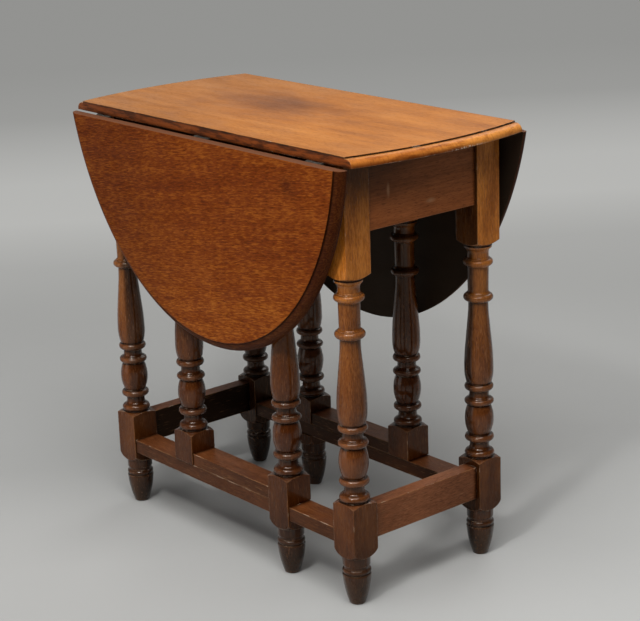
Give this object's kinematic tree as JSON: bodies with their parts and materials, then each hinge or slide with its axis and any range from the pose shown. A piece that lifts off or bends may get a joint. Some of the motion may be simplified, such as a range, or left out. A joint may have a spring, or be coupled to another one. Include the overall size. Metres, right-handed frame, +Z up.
{
  "type": "gateleg drop-leaf table",
  "caption": "Oval oak gateleg table with turned legs, its hinged drop leaves hanging and its swinging gates closed",
  "frame": {"origin": "on the floor, below the middle of the top", "axes": "X along the top and the hinges, Y across the top with the front leaf at minus Y, Z up"},
  "size_m": [0.7448, 0.3884, 0.72],
  "materials": {
    "polished_oak": "semi-gloss worn polish",
    "frame_oak": "dark stained oak, worn semi-gloss polish",
    "pine_blocks": "bare softwood",
    "hinges": "dull dark iron",
    "screws": "dull iron"
  },
  "bodies": {
    "frame": {"end_apron_left": "frame_oak", "end_apron_right": "frame_oak", "end_stretcher_left": "frame_oak", "end_stretcher_right": "frame_oak", "glue_blocks": "pine_blocks", "hinge_pin_back_left": "hinges", "hinge_pin_back_middle": "hinges", "hinge_pin_back_right": "hinges", "hinge_pin_front_left": "hinges", "hinge_pin_front_middle": "hinges", "hinge_pin_front_right": "hinges", "hinge_screws_top_back": "screws", "hinge_screws_top_front": "screws", "hinge_top_flap_back_left": "hinges", "hinge_top_flap_back_middle": "hinges", "hinge_top_flap_back_right": "hinges", "hinge_top_flap_front_left": "hinges", "hinge_top_flap_front_middle": "hinges", "hinge_top_flap_front_right": "hinges", "leg_back_left": "frame_oak", "leg_back_right": "frame_oak", "leg_front_left": "frame_oak", "leg_front_right": "frame_oak", "side_apron_back": "frame_oak", "side_apron_front": "frame_oak", "side_stretcher_back": "frame_oak", "side_stretcher_front": "frame_oak", "top_board": "polished_oak", "top_screws": "screws"},
    "leaf_front": {"hinge_leaf_flap_front_left": "hinges", "hinge_leaf_flap_front_middle": "hinges", "hinge_leaf_flap_front_right": "hinges", "hinge_screws_leaf_front": "screws", "leaf_front": "polished_oak"},
    "gate_front": {"gate_leg_front": "frame_oak", "gate_lower_rail_front": "frame_oak", "gate_post_front": "frame_oak", "gate_upper_rail_front": "frame_oak"},
    "leaf_back": {"hinge_leaf_flap_back_left": "hinges", "hinge_leaf_flap_back_middle": "hinges", "hinge_leaf_flap_back_right": "hinges", "hinge_screws_leaf_back": "screws", "leaf_back": "polished_oak"},
    "gate_back": {"gate_leg_back": "frame_oak", "gate_lower_rail_back": "frame_oak", "gate_post_back": "frame_oak", "gate_upper_rail_back": "frame_oak"}
  },
  "joints": [
    {"name": "leaf_front_hinge", "type": "hinge", "parent": "frame", "child": "leaf_front", "pos_m": [0, -0.17585, 0.70165], "axis": [-1, 0, 0], "range_deg": [0, 92.4]},
    {"name": "leaf_back_hinge", "type": "hinge", "parent": "frame", "child": "leaf_back", "pos_m": [0, 0.17585, 0.70165], "axis": [1, 0, 0], "range_deg": [0, 92.4]},
    {"name": "gate_front_pivot", "type": "hinge", "parent": "frame", "child": "gate_front", "pos_m": [-0.1215, -0.1347, 0.36], "axis": [0, 0, -1], "range_deg": [0, 1.8]},
    {"name": "gate_back_pivot", "type": "hinge", "parent": "frame", "child": "gate_back", "pos_m": [0.1215, 0.1347, 0.36], "axis": [0, 0, -1], "range_deg": [0, 1.8]}
  ]
}
